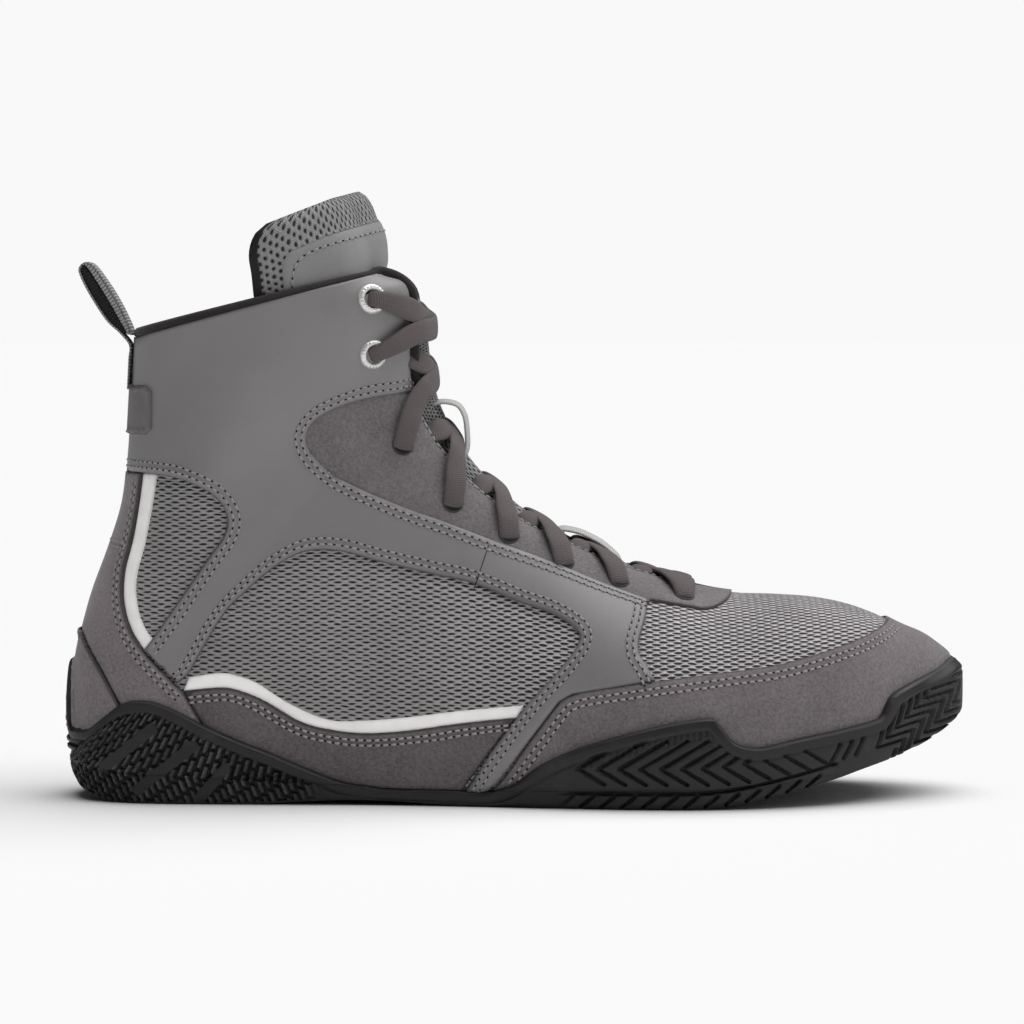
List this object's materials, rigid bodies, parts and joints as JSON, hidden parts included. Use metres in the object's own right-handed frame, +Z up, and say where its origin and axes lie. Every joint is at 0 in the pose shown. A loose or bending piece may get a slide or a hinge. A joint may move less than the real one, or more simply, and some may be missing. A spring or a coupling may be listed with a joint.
{
  "type": "boxing shoe",
  "caption": "High-top boxing shoe for the right foot: hollow mesh and synthetic leather upper, suede overlays, flat criss-cross lace, padded tongue and a low black rubber cup sole.",
  "frame": {"origin": "on the floor, under the middle of the whole shoe's box", "axes": "+X from heel to toe, +Y to the inner side of the foot, +Z up"},
  "size_m": [0.2922, 0.1014, 0.1936],
  "materials": {
    "rubber": "matte black",
    "mesh": "light grey open mesh",
    "leather": "smooth grey synthetic leather",
    "suede": "dark grey suede",
    "lining": "black knit",
    "webbing": "grey ribbed webbing",
    "lace": "dark grey flat weave",
    "badge": "grey moulded rubber",
    "foam": "black foam with cloth top",
    "metal": "bright rolled ring"
  },
  "bodies": {
    "root": {"outsole": "rubber", "insole": "foam", "upper": "mesh", "tongue": "leather", "ankle_cage": "leather", "eyestay": "suede", "toe_mudguard": "suede", "side_band_lateral": "suede", "side_band_medial": "suede", "heel_counter": "suede", "heel_patch": "suede", "collar_binding": "lining", "heel_loop": "webbing", "heel_badge": "badge", "lace": "lace", "lace_keeper_upper": "webbing", "lace_keeper_lower": "webbing", "eyelet_lateral_1": "metal", "eyelet_lateral_2": "metal", "eyelet_medial_1": "metal", "eyelet_medial_2": "metal"}
  },
  "joints": []
}
